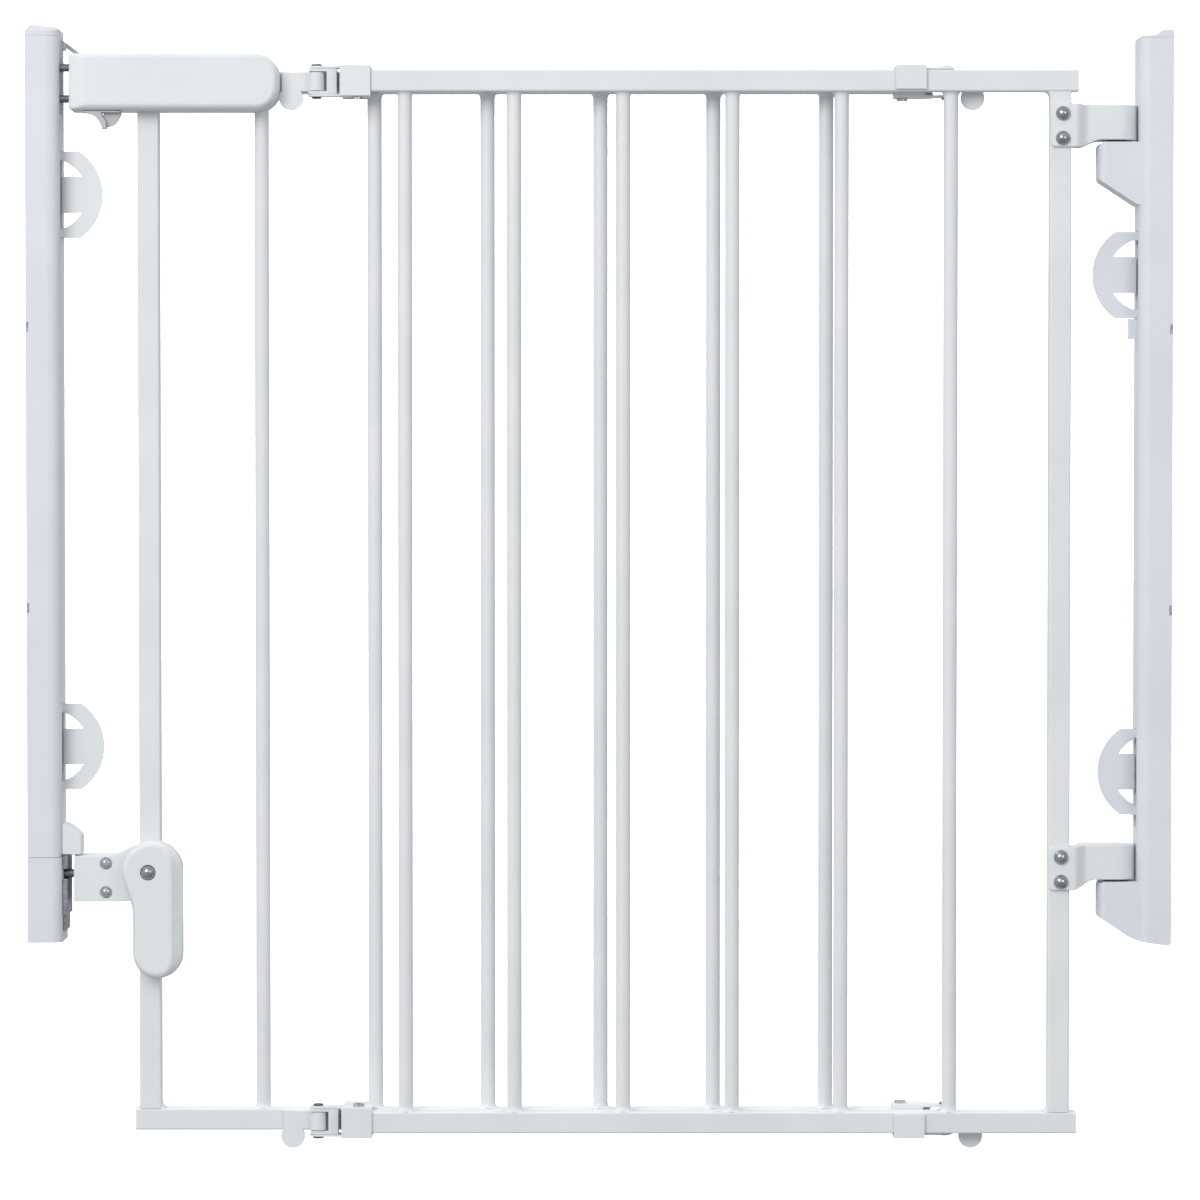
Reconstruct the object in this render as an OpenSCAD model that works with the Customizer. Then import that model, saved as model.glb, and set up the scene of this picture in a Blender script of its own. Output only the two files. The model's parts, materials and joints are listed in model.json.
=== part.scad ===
// Extending stair gate with a two-point latch, two hinges and two wall rails.
// X runs along the opening, Y from the front to the back, Z up.
// The origin is the centre of the hinge-side wall strip's face. The latch wall is at minus X.

/* [Opening] */
// Distance between the two wall faces with the gate at its narrowest
opening_w = 821; // [815:1:830]
// Height of the gate's panel
panel_h = 762; // [740:1:780]
// Height of the panel's top edge above the middle of the wall rails
panel_top = 296.6; // [290:0.1:300]

/* [Wall rails] */
// Height of each wall rail
rail_h = 642; // [630:1:650]
// How far a wall rail stands off the wall
rail_w = 24.5; // [24:0.1:26]
// Depth of a wall rail from front to back
rail_d = 38; // [36:0.5:40]
// Wall thickness of the rail covers
cover_t = 2; // [1.5:0.1:2.5]
// Thickness of the steel strips that are screwed to the wall
strip_t = 2.5; // [2:0.1:3]

/* [Frames] */
// Side of the square tube
tube_w = 15.5; // [15:0.1:16]
// Wall thickness of the square tube
tube_t = 1.2; // [1:0.1:1.5]
// Diameter of the round bars
bar_d = 10; // [9:0.5:11]
// Spacing of the front frame's uprights
front_pitch = 78.1; // [77:0.1:79]
// Spacing of the rear frame's uprights
rear_pitch = 81.2; // [80:0.1:82]
// Number of round bars in each frame
bar_count = 6; // [5:1:6]

/* [Hinges] */
// Distance of the hinge axis from the hinge wall
hinge_off = 39.5; // [39:0.1:40]
// Radius of the round end of a hinge arm
arm_r = 14.7; // [14:0.1:14.7]
// Diameter of a hinge pin
hinge_pin_d = 8; // [7:0.5:9]

/* [Latch] */
// Length of the upper latch's housing
housing_l = 150.3; // [149:0.1:151]
// Height of the upper latch's housing
housing_h = 40.4; // [39:0.1:41]
// Diameter of a latch pin
latch_pin_d = 5.6; // [5:0.1:6]
// Vertical distance between the two upper latch pins
latch_pin_gap = 22.2; // [21:0.1:23]

/* [Hidden] */
$fn = 48;

// Running clearance between sliding parts
slip = 0.4;
// Running clearance on a pin in its bore
run = 0.05;
// Overshoot that keeps cuts clean
eps = 1;

// Depths: the front frame and the rear frame lie one behind the other
front_y = -rail_d / 2;
rear_y = 0;
rear_back_y = rear_y + tube_w;
front_mid_y = front_y + tube_w / 2;
rear_mid_y = rear_y + tube_w / 2;
panel_bottom = panel_top - panel_h;

// Front frame along X
front_post_x = -81;
arm_bolt_x = -79.7;
front_right_x = -71;
front_left_x = -594;
end_cap_t = 2.8;

// Rear frame along X, measured from the latch wall
latch_wall_x = -opening_w;
rear_post_x = latch_wall_x + 86.5;
rear_left_x = rear_post_x - tube_w / 2;
rear_right_x = latch_wall_x + 646.5;

// Colours of the painted and plated parts
white = [0.93, 0.94, 0.95];
cool_white = [0.88, 0.9, 0.93];
steel = [0.72, 0.73, 0.75];
dark_steel = [0.45, 0.46, 0.48];
grey = [0.7, 0.71, 0.72];

// ---------- shared shapes ----------

// Rectangle with rounded corners, its low corner at the origin
module rounded_rect(w, h, r) {
    translate([r, 0]) square([w - 2 * r, h]);
    translate([0, r]) square([w, h - 2 * r]);
    for (x = [r, w - r], y = [r, h - r]) translate([x, y]) circle(r);
}

// Square tube along +X from the origin, its low corner at the origin
module square_tube(l) {
    rotate([90, 0, 90]) linear_extrude(l) difference() {
        rounded_rect(tube_w, tube_w, 1.5);
        translate([tube_t, tube_t]) square(tube_w - 2 * tube_t);
    }
}

// Stands a shape drawn in X and Z up, from y to y + t
module wall_shape(y, t) {
    translate([0, y + t, 0]) rotate([90, 0, 0]) linear_extrude(t) children();
}

// Cylinder along Y from y to y + l
module y_rod(x, z, y, l, d) {
    translate([x, y, z]) rotate([-90, 0, 0]) cylinder(h = l, d = d);
}

// Cylinder along X from x to x + l
module x_rod(x, y, z, l, d) {
    translate([x, y, z]) rotate([0, 90, 0]) cylinder(h = l, d = d);
}

// Cylinder along Z from z to z + l
module z_rod(x, y, z, l, d) {
    translate([x, y, z]) cylinder(h = l, d = d);
}

// Domed head on the plane y, swelling towards the front
module dome_head(x, z, y, d, h) {
    ball_r = (d * d / 4 + h * h) / (2 * h);
    intersection() {
        translate([x, y - h + ball_r, z]) sphere(ball_r);
        y_rod(x, z, y - h - eps, h + eps, d);
    }
}

// Cross-recessed head along Z: dir is 1 for a head on top, -1 for one below
module cross_head(x, y, z, dir, d, h) {
    difference() {
        translate([x, y, z]) mirror([0, 0, dir < 0 ? 1 : 0]) cylinder(h = h, d = d);
        for (a = [0, 90])
            translate([x, y, z + dir * h]) rotate([0, 0, a]) cube([d * 0.6, 1.2, 2], center = true);
    }
}

// ---------- wall rails ----------

rail_bevel_x = 9;
rail_bevel_y = 8;
rail_back_gap = 0.4;

// Plan of a rail cover: the wall at x = 0, the opening at minus X, the front corner a long soft curve
module rail_plan(inset) {
    w = rail_w - inset;
    f = front_y + inset;
    b = -front_y - inset;
    polygon(concat([[-rail_back_gap, f]],
        [for (a = [0:10:90]) [-w + rail_bevel_x * (1 - sin(a)), f + rail_bevel_y * (1 - sin(90 - a))]],
        [[-w, b - 2], [-w + 0.6, b - 0.6], [-w + 2, b], [-rail_back_gap, b]]));
}

// Slots for the clips
clip_slot_h = 62.6;
clip_slot_d = 15;
// The hinge rail's lower slot reaches this much further down
lower_slot_drop = 8.5;
// Small notches in the rail's front edge along the wall
notches_z = [113, -88];
notch_h = 7;
notch_d = 5;

// Rail cover on the hinge side's frame: clip slots at the heights given, each longer below by its drop
module rail_cover(slots, drops, notches) {
    difference() {
        translate([0, 0, -rail_h / 2]) linear_extrude(rail_h) rail_plan(0);
        translate([0, 0, -rail_h / 2 - eps]) linear_extrude(rail_h + 2 * eps) union() {
            rail_plan(cover_t);
            translate([-strip_t - 3, front_y + cover_t]) square([strip_t + 3 + eps, rail_d - 2 * cover_t]);
        }
        for (i = [0, 1])
            translate([-rail_w - eps, -clip_slot_d / 2, slots[i] - clip_slot_h / 2 - drops[i]])
                cube([cover_t + 3, clip_slot_d, clip_slot_h + drops[i]]);
        for (z = notches)
            translate([-2.6, front_y - eps, z - notch_h / 2]) cube([5, notch_d + eps, notch_h]);
    }
}

// Wall screws: heights and hole diameter
screw_z = [-270, -90, 90, 270];
wall_hole_d = 5.2;
strip_w = 30;
strip_short = 6;

// Steel strip against the wall, with four screw holes
module wall_strip() {
    difference() {
        translate([-strip_t, -strip_w / 2, -rail_h / 2 + strip_short])
            cube([strip_t, strip_w, rail_h - 2 * strip_short]);
        for (z = screw_z) x_rod(-strip_t - eps, 0, z, strip_t + 2 * eps, wall_hole_d);
    }
}

cap_plug_h = 8;

// Plug that holds an end cap in the rail
module cap_plug() {
    translate([0, 0, rail_h / 2 - cap_plug_h]) linear_extrude(cap_plug_h) difference() {
        rail_plan(cover_t + 0.2);
        translate([-strip_t - 0.4, front_y]) square([10, rail_d]);
    }
}

// Clips: plate thickness and depth, the round edge, the rim beyond the windows and how far each stands out
clip_t = 3;
clip_y = 1;
clip_rim = 15;
clip_reach_hinge = [31.7, 27];
clip_reach_latch = 29.2;
clip_arc_r = 37.5;
clip_window_r = 25.9;
clip_window_h = 12;
clip_bar_half_h = 13;
clip_core_half_h = 24.8;
clip_foot_h = 6.2;
clip_half_h = 31;
clip_foot_l = 4.6;
clip_foot_d = 14.2;

// D-shaped clip in a slot at height z, standing out by reach: the opening lies at minus X
module rail_clip(z, reach) {
    wall_shape(clip_y, clip_t) difference() {
        intersection() {
            translate([-rail_w - reach + clip_arc_r, z]) circle(clip_arc_r, $fn = 96);
            translate([-rail_w - reach, z - clip_half_h]) square([reach + clip_foot_l, 2 * clip_half_h]);
        }
        for (s = [-1, 1]) intersection() {
            translate([-rail_w - reach + clip_arc_r, z]) circle(clip_window_r, $fn = 96);
            translate([-rail_w - reach + clip_rim,
                z + (s > 0 ? clip_bar_half_h : -clip_bar_half_h - clip_window_h)])
                square([40, clip_window_h]);
        }
        translate([-rail_w - 0.4, z - clip_core_half_h]) square([20, 2 * clip_core_half_h]);
    }
    for (s = [-1, 1]) difference() {
        translate([-rail_w + 0.2, -clip_foot_d / 2, z + (s > 0 ? clip_core_half_h : -clip_half_h)])
            cube([clip_foot_l, clip_foot_d, clip_foot_h]);
        translate([-rail_w - reach, clip_y, z - 40]) cube([60, clip_t, 80]);
    }
}

// Middle heights of the clip slots, and the stop under the upper hinge clip
hinge_slots = [151, -206.5];
latch_slots = [208.5, -188.2];
clip_stop_l = 6;
clip_stop_h = 14.4;
clip_stop_low = 105;
// The hinge rail sits this much lower than the latch rail
hinge_rail_drop = 1.6;
hinge_rail_low = -rail_h / 2 - hinge_rail_drop;

// Steel strip on the hinge wall
module hinge_wall_strip() color(steel) wall_strip();

// Cover of the hinge rail, with a small stop under the upper clip
module hinge_rail() color(cool_white) {
    translate([0, 0, -hinge_rail_drop])
        rail_cover([for (z = hinge_slots) z + hinge_rail_drop], [0, lower_slot_drop], notches_z);
    translate([-rail_w - clip_stop_l, clip_y, clip_stop_low]) cube([clip_stop_l + eps, clip_t, clip_stop_h]);
}

// Cap on the hinge rail: a low top towards the opening and a raised strip along the wall
module hinge_rail_cap() color(cool_white) translate([0, 0, -hinge_rail_drop]) {
    intersection() {
        translate([0, 0, rail_h / 2]) linear_extrude(20) rail_plan(0);
        wall_shape(-30, 60) polygon([[-40, rail_h / 2 - 1], [-40, rail_h / 2 + 1], [-rail_w, rail_h / 2 + 1],
            [-rail_w + 2, rail_h / 2 + 1.8], [-14, rail_h / 2 + 2], [-11.5, rail_h / 2 + 3],
            [-9.5, rail_h / 2 + 5.2], [-7, rail_h / 2 + 5.6], [1, rail_h / 2 + 5.6], [1, rail_h / 2 - 1]]);
    }
    cap_plug();
}

// Clips of the hinge rail
module hinge_clip_upper() color(cool_white) rail_clip(hinge_slots[0], clip_reach_hinge[0]);
module hinge_clip_lower() color(cool_white) rail_clip(hinge_slots[1], clip_reach_hinge[1]);

// Turns a part of the hinge wall into its mirror image on the latch wall
module on_latch_wall() { translate([latch_wall_x, 0, 0]) mirror([1, 0, 0]) children(); }

// Steel strip on the latch wall
module latch_wall_strip() color(steel) on_latch_wall() wall_strip();

// Cover of the latch rail, with a window for the upper strike
module latch_rail() color(cool_white) difference() {
    on_latch_wall() rail_cover(latch_slots, [0, 0], notches_z);
    translate([latch_wall_x + rail_w - cover_t - 2, strike_front_y - 0.05, upper_strike_low - 0.05])
        cube([cover_t + 4, strike_plate_d + 0.1, upper_strike_h + 0.1]);
}

// Cap on the latch rail: its top rises towards the back and towards the wall
module latch_rail_cap() color(cool_white) on_latch_wall() {
    intersection() {
        translate([0, 0, rail_h / 2]) linear_extrude(20) rail_plan(0);
        wall_shape(-30, 60) polygon([[-40, rail_h / 2 - 1], [-40, rail_h / 2 + 1.5],
            [-rail_w, rail_h / 2 + 4.5], [-rail_w + 3, rail_h / 2 + 7.2], [1, rail_h / 2 + 11.2],
            [1, rail_h / 2 - 1]]);
        translate([-40, 0, 0]) rotate([90, 0, 90]) linear_extrude(50)
            polygon([[-30, rail_h / 2 - 1], [-30, rail_h / 2 + 2.6], [front_y, rail_h / 2 + 3.6],
                [-front_y, rail_h / 2 + 11.2], [30, rail_h / 2 + 11.2], [30, rail_h / 2 - 1]]);
    }
    cap_plug();
}

// Clips of the latch rail
module latch_clip_upper() color(cool_white) on_latch_wall() rail_clip(latch_slots[0], clip_reach_latch);
module latch_clip_lower() color(cool_white) on_latch_wall() rail_clip(latch_slots[1], clip_reach_latch);

// Foot: height, wall, fit on the rail and how far it hangs below it
foot_h = 61;
foot_t = 0.9;
foot_fit = 0.03;
foot_hang = 7;
foot_top_z = -rail_h / 2 + foot_h - foot_hang;

// Sleeve over the latch rail's foot
module latch_rail_foot() color(cool_white) on_latch_wall() difference() {
    translate([0, 0, foot_top_z - foot_h]) linear_extrude(foot_h) rail_plan(-foot_t);
    translate([0, 0, -rail_h / 2]) linear_extrude(foot_h) union() {
        rail_plan(-foot_fit);
        translate([-eps, front_y - foot_fit]) square([2 * eps, rail_d + 2 * foot_fit]);
    }
    translate([-rail_w - 4, -30, foot_top_z - foot_h - 4.2]) rotate([0, 8, 0]) cube([40, 60, 4]);
}

// ---------- hinges ----------

hinge_x = -hinge_off;
lug_r = 15;
upper_lug_left = -53.4;
lower_lug_left = -51.9;
upper_lug_top = 245.5;
upper_lug_foot = 200.4;
lower_lug_top = -284.6;
lower_lug_foot = -329.9;
lower_underside = [[-80, -332], [1, -332], [1, -328.1], [-0.4, -328.1], [-1.4, -329.5], [-3, -329.9],
    [-10, -329.3], [-20, -327.9], [-27.5, -325.8], [-33, -322.8], [-40.2, -317.7], [-45.5, -314],
    [-50.8, -311], [-51.9, -309], [-80, -309]];
// Plane inside the rail cover where a lug's sides end
lug_in = 21;
lug_corner = 5;
washer_t = 1.3;
washer_d = 15;
pin_deep = 16;

// Body of a lug from X left and between the heights foot and top; its underside is cut to an outline
module lug_block(left, top, foot, underside) {
    difference() {
        union() {
            for (s = [-1, 1]) translate([left + lug_corner, s * (lug_r - lug_corner), foot])
                cylinder(h = top - foot, r = lug_corner);
            translate([left, lug_corner - lug_r, foot])
                cube([-lug_in - left, 2 * (lug_r - lug_corner), top - foot]);
            translate([left + lug_corner, -lug_r, foot])
                cube([-lug_in - left - lug_corner, 2 * lug_r, top - foot]);
        }
        wall_shape(-30, 60) polygon(underside);
        wall_shape(-30, 60) polygon([[left - 1, top - 3.4], [left, top - 3.4], [left + 1.1, top - 1.2],
            [left + 3.4, top - 0.2], [left + 3.4, top + 1], [left - 1, top + 1]]);
        translate([0, 0, hinge_rail_low]) linear_extrude(rail_h) rail_plan(0);
        z_rod(hinge_x, 0, top - pin_deep, pin_deep + eps, hinge_pin_d + 2 * run);
    }
}

// Upper lug: it carries the upper hinge pin
module hinge_lug_upper() color(cool_white) lug_block(upper_lug_left, upper_lug_top, upper_lug_foot,
    [[-80, upper_lug_foot - 1], [-lug_in, upper_lug_foot - 1], [-lug_in, upper_lug_foot],
    [-rail_w - 1.5, upper_lug_foot + 0.4], [-51.8, 217.6], [-53.1, 219.4], [-53.4, 221.5], [-80, 221.5]]);

// Lower lug with the rail's foot cap in one moulding: its underside sweeps down under the rail
module hinge_lug_lower() color(cool_white) {
    lug_block(lower_lug_left, lower_lug_top, lower_lug_foot, lower_underside);
    difference() {
        translate([0, 0, lower_lug_foot]) linear_extrude(hinge_rail_low - lower_lug_foot) rail_plan(0);
        wall_shape(-30, 60) polygon(lower_underside);
    }
}

// Washer on top of a lug
module washer(top) {
    difference() {
        z_rod(hinge_x, 0, top, washer_t, washer_d);
        z_rod(hinge_x, 0, top - eps, washer_t + 2 * eps, hinge_pin_d + 0.4);
    }
}

// Washers of both hinges
module hinge_washers() color(dark_steel) {
    washer(upper_lug_top);
    washer(lower_lug_top);
}

arm_gap = 0.2;
arm_h = 25;
tab_t = 2.6;
tab_h = 31;
tab_left = -88.5;
bolt_foot = 6;
bolt_gap = 17.7;
bolt_d = 10.6;
bolt_head_h = 4.2;
shank_d = 6;

// Plan of a hinge arm: the tab in front of the post, an S-bend and the deep arm round the pin
module arm_plan() {
    back_y = front_y - tab_t;
    translate([hinge_x, 0]) circle(arm_r);
    polygon([[tab_left, back_y], [-71.2, back_y], [-69.2, back_y + 0.4], [-67.4, back_y + 1.5],
        [-65, back_y + 4.4], [-63.4, -arm_r - 0.7], [-61, -arm_r], [hinge_x, -arm_r], [hinge_x, arm_r],
        [-58, arm_r], [-62, arm_r - 1.2], [-64, arm_r - 4], [-72.6, -6], [-72.6, front_y],
        [tab_left, front_y]]);
}

// Front view of a hinge arm: the tab reaches lower than the arm and sweeps up to it
module arm_front(low, tab_low) {
    top = low + arm_h;
    translate([tab_left, tab_low]) rounded_rect(18, tab_h, 3);
    polygon([[tab_left + 8, tab_low], [-69.5, tab_low], [-66, tab_low + 0.4], [-63, tab_low + 1.4],
        [-59, low - 1.5], [-56, low - 0.4], [-53, low], [-20, low], [-20, top], [-64, top],
        [-68, tab_low + tab_h], [tab_left + 8, tab_low + tab_h]]);
}

// Hinge arm with its pin bore and two bolt holes; low is the arm's underside, tab_low the tab's
module hinge_arm(low, tab_low) {
    difference() {
        intersection() {
            translate([0, 0, tab_low - 1]) linear_extrude(tab_h + 10) arm_plan();
            wall_shape(-30, 60) arm_front(low, tab_low);
        }
        z_rod(hinge_x, 0, low - eps, arm_h - 3, hinge_pin_d);
        for (s = [0, 1])
            y_rod(arm_bolt_x, tab_low + bolt_foot + s * bolt_gap, front_y - tab_t - eps, tab_t + 2 * eps,
                shank_d);
    }
}

upper_arm_low = upper_lug_top + washer_t + arm_gap;
lower_arm_low = lower_lug_top + washer_t + arm_gap;
upper_tab_low = upper_arm_low - 5.5;
lower_tab_low = lower_arm_low - 7;

// Both hinge arms
module hinge_arm_upper() color(cool_white) hinge_arm(upper_arm_low, upper_tab_low);
module hinge_arm_lower() color(cool_white) hinge_arm(lower_arm_low, lower_tab_low);

// Pins pressed into the arms, turning in the lugs
module hinge_pins() color(steel) {
    for (z = [upper_arm_low, lower_arm_low])
        z_rod(hinge_x, 0, z - washer_t - arm_gap - pin_deep + 1, arm_h + pin_deep - 4, hinge_pin_d);
}

// Domed bolts through the arms' tabs
module hinge_arm_bolts() color(steel) {
    for (z = [upper_tab_low, lower_tab_low], s = [0, 1]) {
        dome_head(arm_bolt_x, z + bolt_foot + s * bolt_gap, front_y - tab_t, bolt_d, bolt_head_h);
        y_rod(arm_bolt_x, z + bolt_foot + s * bolt_gap, front_y - tab_t, tab_t + tube_t, shank_d);
    }
}

// ---------- frames ----------

// Horizontal tube from x0 to x1
module frame_rail(x0, x1, y, z) {
    translate([x0, y, z]) square_tube(x1 - x0);
}

// Square upright between the two rails; holes are heights of bolt holes in its front wall
module frame_post(x, y, holes) {
    difference() {
        translate([x - tube_w / 2, y, panel_bottom + tube_w]) linear_extrude(panel_h - 2 * tube_w)
            difference() {
                rounded_rect(tube_w, tube_w, 1.5);
                translate([tube_t, tube_t]) square(tube_w - 2 * tube_t);
            }
        for (z = holes) y_rod(arm_bolt_x, z, y - eps, tube_t + 2 * eps, shank_d);
    }
}

// Round bars, hollow, welded between the rails
module frame_bars(x0, pitch, y) {
    for (i = [1:bar_count]) translate([x0 + i * pitch, y, panel_bottom + tube_w])
        linear_extrude(panel_h - 2 * tube_w) difference() {
            circle(d = bar_d);
            circle(d = bar_d - 2);
        }
}

// Plug with a flat plate that closes a tube's end; dir points out of the tube
module tube_cap(x, y, z, dir) {
    translate([dir > 0 ? x : x - end_cap_t, y, z]) rotate([90, 0, 90])
        linear_extrude(end_cap_t) rounded_rect(tube_w, tube_w, 1.5);
    translate([dir > 0 ? x - 9 : x, y + tube_t + 0.1, z + tube_t + 0.1])
        cube([9, tube_w - 2 * tube_t - 0.2, tube_w - 2 * tube_t - 0.2]);
}

top_z = panel_top - tube_w;
arm_bolt_z = [for (z = [upper_tab_low, lower_tab_low], s = [0, 1]) z + bolt_foot + s * bolt_gap];

// Front frame
module front_top_rail() color(white) frame_rail(front_left_x, front_right_x, front_y, top_z);
module front_bottom_rail() color(white) frame_rail(front_left_x, front_right_x, front_y, panel_bottom);
module front_post() color(white) frame_post(front_post_x, front_y, arm_bolt_z);
module front_bars() color(white) frame_bars(front_post_x, -front_pitch, front_mid_y);

// Plugs in the open ends of the front frame's rails
module front_end_caps() color(white) {
    for (z = [top_z, panel_bottom]) tube_cap(front_right_x, front_y, z, 1);
}

// Rear frame
module rear_top_rail() color(white) frame_rail(rear_left_x, rear_right_x, rear_y, top_z);
module rear_bottom_rail() color(white) frame_rail(rear_left_x, rear_right_x, rear_y, panel_bottom);
module rear_post() color(white) difference() {
    frame_post(rear_post_x, rear_y, []);
    y_rod(lever_x, lever_z, rear_y - eps, tube_t + 2 * eps, lever_bolt_d);
}
module rear_bars() color(white) frame_bars(rear_post_x, rear_pitch, rear_mid_y);

// Plugs in the open ends of the rear frame's rails
module rear_end_caps() color(white) {
    for (z = [top_z, panel_bottom]) {
        tube_cap(rear_left_x, rear_y, z, -1);
        tube_cap(rear_right_x, rear_y, z, 1);
    }
}

// ---------- sleeves, clips and lock levers ----------

rail_mid_top = top_z + tube_w / 2;
rail_mid_low = panel_bottom + tube_w / 2;
// Ears of the fittings lie between these distances from the rail's middle
ear_in = 9.3;
ear_out = 10.9;
half_tube = tube_w / 2;
ear_d = 12.2;

// The lower fittings are the upper ones turned over
module at_top_rail() { translate([0, 0, rail_mid_top]) children(); }
module at_low_rail() { translate([0, 0, rail_mid_low]) mirror([0, 0, 1]) children(); }

// Lock levers: barrel, leaf and thumb lobe
barrel_r = 5.6;
barrel_h = 13.2;
leaf_t = 2.4;
leaf_l = 25.2;
lobe_off = 18.6;
lobe_r = 8.6;
pivot_d = 5;
left_pivot_x = -612.9;
left_pivot_y = -0.6 - barrel_r;
right_pivot_x = -161.5;
right_pivot_y = -0.6 - leaf_t + barrel_r;

sleeve_x = -595.6;
sleeve_l = 21.8;
sleeve_screw_in = 12;
small_screw_d = 4;
sleeve_front = front_y - 2.2;
sleeve_back = rear_back_y + 2.6;

// Ear for a lever pivot, from x0 to x1 with its rounded end round the pivot
module ear(x0, x1, px, py, z) {
    difference() {
        union() {
            z_rod(px, py, z, ear_out - ear_in, ear_d);
            translate([x0, py - ear_d / 2, z]) cube([x1 - x0, ear_d - 0.7, ear_out - ear_in]);
        }
        z_rod(px, py, z - eps, ear_out - ear_in + 2 * eps, pivot_d);
    }
}

// Sleeve on the front rail's end: it hooks over the rear rail and is open towards its bars
module sleeve() {
    difference() {
        translate([sleeve_x, sleeve_front, -ear_out])
            cube([sleeve_l, sleeve_back - sleeve_front, 2 * ear_out]);
        translate([sleeve_x - eps, front_y, -half_tube]) cube([sleeve_l + 2 * eps, tube_w, tube_w]);
        translate([sleeve_x - eps, rear_y - slip, -ear_out - eps])
            cube([sleeve_l + 2 * eps, tube_w + 2 * slip, ear_out + half_tube + slip + eps]);
        z_rod(sleeve_x + sleeve_screw_in, front_mid_y, -ear_out - eps, 5, small_screw_d);
    }
    difference() {
        for (z = [-ear_out, ear_in]) ear(left_pivot_x, sleeve_x, left_pivot_x, left_pivot_y, z);
        translate([left_pivot_x - ear_d, -0.6, -ear_out - eps]) cube([2 * ear_d, 10, 2 * ear_out + 2 * eps]);
    }
}

// Both sleeves
module sleeve_upper() color(white) at_top_rail() sleeve();
module sleeve_lower() color(white) at_low_rail() sleeve();

// Screw that holds a sleeve to the front rail
module sleeve_screw() {
    z_rod(sleeve_x + sleeve_screw_in, front_mid_y, -ear_out, ear_out - half_tube, small_screw_d);
    cross_head(sleeve_x + sleeve_screw_in, front_mid_y, -ear_out, -1, 8, 2);
}

module sleeve_screws() color(steel) {
    at_top_rail() sleeve_screw();
    at_low_rail() sleeve_screw();
}

yoke_h = 18.4;
yoke_right = -598.2;

// U-shaped yoke between the ears: its window holds the lever's barrel
module yoke() {
    difference() {
        translate([left_pivot_x - 5.6, left_pivot_y - 5.6, -yoke_h / 2])
            cube([yoke_right - left_pivot_x + 5.6, 11.1, yoke_h]);
        translate([left_pivot_x - 20, left_pivot_y - 10, -barrel_h / 2 - slip])
            cube([20 + barrel_r + 1.9, 20, barrel_h + 2 * slip]);
        z_rod(left_pivot_x, left_pivot_y, -ear_out, 2 * ear_out, pivot_d);
    }
}

// Both yokes
module front_yokes() color(white) {
    at_top_rail() yoke();
    at_low_rail() yoke();
}

// Pivot bolt through a pair of ears, with a head at each end; head is the outer head's height
module lever_pivot(x, y, head) {
    z_rod(x, y, -ear_out, 2 * ear_out, pivot_d);
    z_rod(x, y, ear_out, head, 8);
    z_rod(x, y, -ear_out - 1.4, 1.4, 7);
}

module front_pivots() color(steel) {
    at_top_rail() lever_pivot(left_pivot_x, left_pivot_y, 1.6);
    at_low_rail() lever_pivot(left_pivot_x, left_pivot_y, 1.6);
}

module rear_pivots() color(steel) {
    at_top_rail() lever_pivot(right_pivot_x, right_pivot_y, 0.7);
    at_low_rail() lever_pivot(right_pivot_x, right_pivot_y, 0.7);
}

// Lock lever: barrel, flat leaf towards dir and a round thumb lobe hanging below it.
// side is 1 when the leaf lies behind its barrel and -1 when it lies in front.
module lock_lever(px, py, dir, side) {
    leaf_y = side > 0 ? py + barrel_r - leaf_t : py - barrel_r;
    difference() {
        union() {
            translate([px, py, -barrel_h / 2]) cylinder(h = barrel_h, r = barrel_r);
            wall_shape(leaf_y, leaf_t) {
                translate([dir > 0 ? px : px - leaf_l, -barrel_h / 2]) square([leaf_l, barrel_h]);
                translate([px + dir * lobe_off, -barrel_h / 2 - 5]) circle(lobe_r);
            }
        }
        z_rod(px, py, -barrel_h, 2 * barrel_h, pivot_d + 2 * run);
    }
}

// Four lock levers, all with the thumb lobe hanging down
module lock_lever_upper_left() color(white) translate([0, 0, rail_mid_top])
    lock_lever(left_pivot_x, left_pivot_y, -1, 1);
module lock_lever_lower_left() color(white) translate([0, 0, rail_mid_low])
    lock_lever(left_pivot_x, left_pivot_y, -1, 1);
module lock_lever_upper_right() color(white) translate([0, 0, rail_mid_top])
    lock_lever(right_pivot_x, right_pivot_y, 1, -1);
module lock_lever_lower_right() color(white) translate([0, 0, rail_mid_low])
    lock_lever(right_pivot_x, right_pivot_y, 1, -1);

clip_x = -199;
clip_l = 22;
clip_screw_in = 6;
clip_front_t = 2.2;
clip_back_t = 2.2;

// Clip on the rear rail's end: it hooks over the front rail and is open towards its bars
module slide_clip() {
    front = front_y - slip - clip_front_t;
    back = rear_back_y + clip_back_t;
    difference() {
        translate([clip_x, front, -ear_out]) cube([clip_l, back - front, 2 * ear_out]);
        translate([clip_x - eps, front_y - slip, -ear_out - eps])
            cube([clip_l + 2 * eps, tube_w + 2 * slip, ear_out + half_tube + slip + eps]);
        translate([clip_x - eps, front - eps, -ear_out - eps])
            cube([clip_l + 2 * eps, clip_front_t + 2 * eps + slip, ear_out - half_tube + 1.6 + eps]);
        translate([clip_x - eps, rear_y, -half_tube]) cube([clip_l + 2 * eps, tube_w, tube_w]);
        z_rod(clip_x + clip_screw_in, rear_mid_y, -ear_out - eps, 5, small_screw_d);
    }
    translate([clip_x + clip_l, rear_y, -ear_out]) cube([6, tube_w, ear_out - half_tube]);
    for (z = [-ear_out, ear_in])
        ear(clip_x + clip_l, right_pivot_x, right_pivot_x, right_pivot_y, z);
}

// Both clips
module clip_upper() color(white) at_top_rail() slide_clip();
module clip_lower() color(white) at_low_rail() slide_clip();

// Screw that holds a clip to the rear rail
module clip_screw() {
    z_rod(clip_x + clip_screw_in, rear_mid_y, -ear_out, ear_out - half_tube, small_screw_d);
    cross_head(clip_x + clip_screw_in, rear_mid_y, -ear_out, -1, 8, 2);
}

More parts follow.
